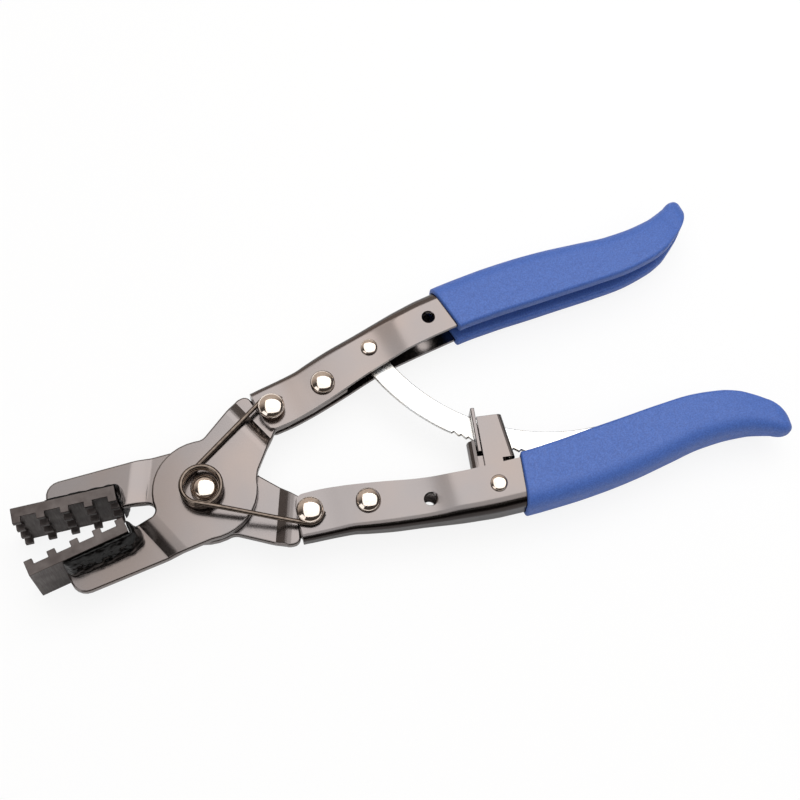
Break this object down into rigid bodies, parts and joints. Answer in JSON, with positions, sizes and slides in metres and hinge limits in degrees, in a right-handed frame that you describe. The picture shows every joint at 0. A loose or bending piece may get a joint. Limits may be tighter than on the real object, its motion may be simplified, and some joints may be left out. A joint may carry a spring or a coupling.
{
  "type": "hose clamp pliers",
  "caption": "Hose clamp pliers with wide toothed jaw blocks, dipped grips, an opening spring and a ratchet bar that holds the jaws closed.",
  "frame": {"origin": "on the pivot's axis, at the flat face of the pivot rivet's rear head", "axes": "+X from the pivot along the middle line between the handles, +Y towards the upper handle, +Z towards the front, the side of the return spring"},
  "size_m": [0.2514, 0.0936, 0.0229],
  "materials": {
    "lever_steel": "black nickel plated, polished",
    "jaw_steel": "black oxide, matt",
    "weld_steel": "black plated weld bead",
    "nickel_steel": "bright nickel plated",
    "spring_steel": "black oiled spring wire",
    "zinc_steel": "bright zinc plated",
    "grip_vinyl": "dipped vinyl, fine grain"
  },
  "bodies": {
    "rear_lever": {"rear_plate": "lever_steel", "upper_jaw_block": "jaw_steel", "upper_jaw_front_weld": "weld_steel", "upper_jaw_rear_weld": "weld_steel", "lower_handle": "lever_steel", "lower_grip": "grip_vinyl", "lower_front_rivet": "nickel_steel", "lower_rear_rivet": "nickel_steel", "pivot_rivet": "nickel_steel", "pivot_front_washer": "nickel_steel", "pivot_rear_washer": "lever_steel", "return_spring": "spring_steel", "bar_guide": "lever_steel", "lock_spring": "spring_steel", "lock_pin": "nickel_steel"},
    "front_lever": {"front_plate": "lever_steel", "lower_jaw_block": "jaw_steel", "lower_jaw_front_weld": "weld_steel", "lower_jaw_rear_weld": "weld_steel", "upper_handle": "lever_steel", "upper_grip": "grip_vinyl", "upper_front_rivet": "nickel_steel", "upper_rear_rivet": "nickel_steel", "ratchet_bar_pin": "nickel_steel", "bar_front_spacer": "nickel_steel", "bar_rear_spacer": "nickel_steel"},
    "ratchet_bar": {"ratchet_bar": "zinc_steel"},
    "lock_lever": {"lock_lever": "lever_steel", "lock_pawl": "lever_steel"}
  },
  "joints": [
    {"name": "handle_pivot", "type": "hinge", "parent": "rear_lever", "child": "front_lever", "pos_m": [0, 0, 0.00595], "axis": [0, 0, 1], "range_deg": [-11.5, 6], "deforming": ["return_spring"]},
    {"name": "bar_pivot", "type": "hinge", "parent": "front_lever", "child": "ratchet_bar", "pos_m": [0.06703, 0.02855, 0.00595], "axis": [0, 0, 1], "range_deg": [-12, 22.5]},
    {"name": "lock_pivot", "type": "hinge", "parent": "rear_lever", "child": "lock_lever", "pos_m": [0.08952, -0.03167, 0.00595], "axis": [0, 0, 1], "range_deg": [-4, 0], "stiffness_Nm_per_rad": 0.02, "springref_deg": 11.46}
  ],
  "couplings": [
    {"joint": "bar_pivot", "follows": "handle_pivot", "ratio": -1.89}
  ]
}
